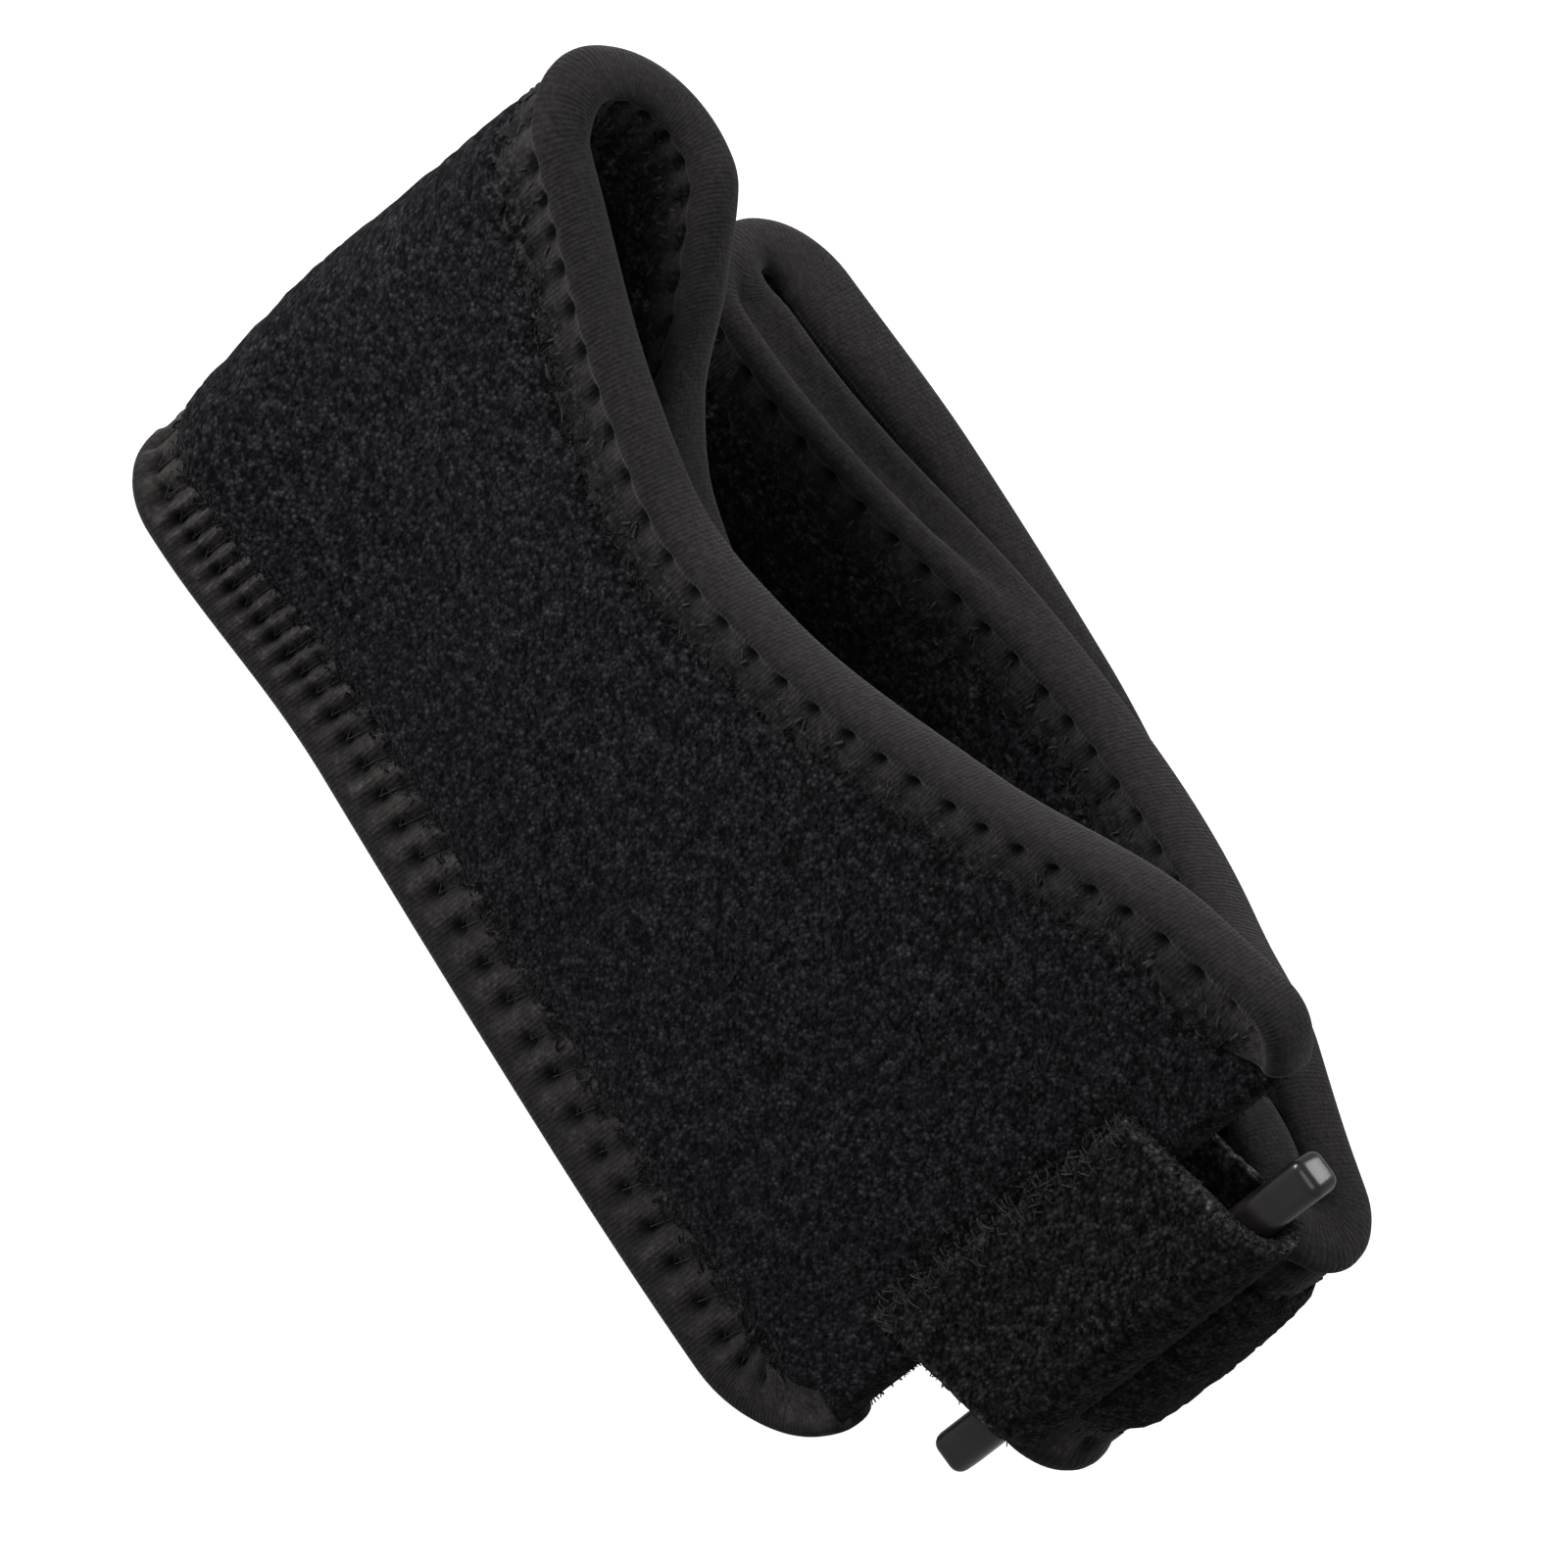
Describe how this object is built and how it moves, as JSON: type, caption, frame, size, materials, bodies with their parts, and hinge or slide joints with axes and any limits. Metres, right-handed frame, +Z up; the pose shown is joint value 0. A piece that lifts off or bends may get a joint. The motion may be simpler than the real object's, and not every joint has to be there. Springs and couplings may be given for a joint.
{
  "type": "patellar strap",
  "caption": "Knee strap: a bound neoprene band with a sculpted wide panel, folded up on itself, and a loop-tape tab holding a plastic bar at its wide end.",
  "frame": {"origin": "middle of the underside of the folded strap's bounding box, on the floor", "axes": "+X from the big fold to the bar end, +Y from the wide panel to the tail, +Z up across the band's width"},
  "size_m": [0.1308, 0.0546, 0.081],
  "materials": {
    "pile_neoprene": "matte pile face on neoprene foam",
    "binding_tape": "ribbed stretch binding",
    "loop_tape": "matte loop pile",
    "bar_plastic": "satin"
  },
  "bodies": {
    "root": {"neoprene_band": "pile_neoprene", "binding_top": "binding_tape", "binding_bottom": "binding_tape", "bar_tab": "loop_tape", "tab_bar": "bar_plastic"}
  },
  "joints": []
}
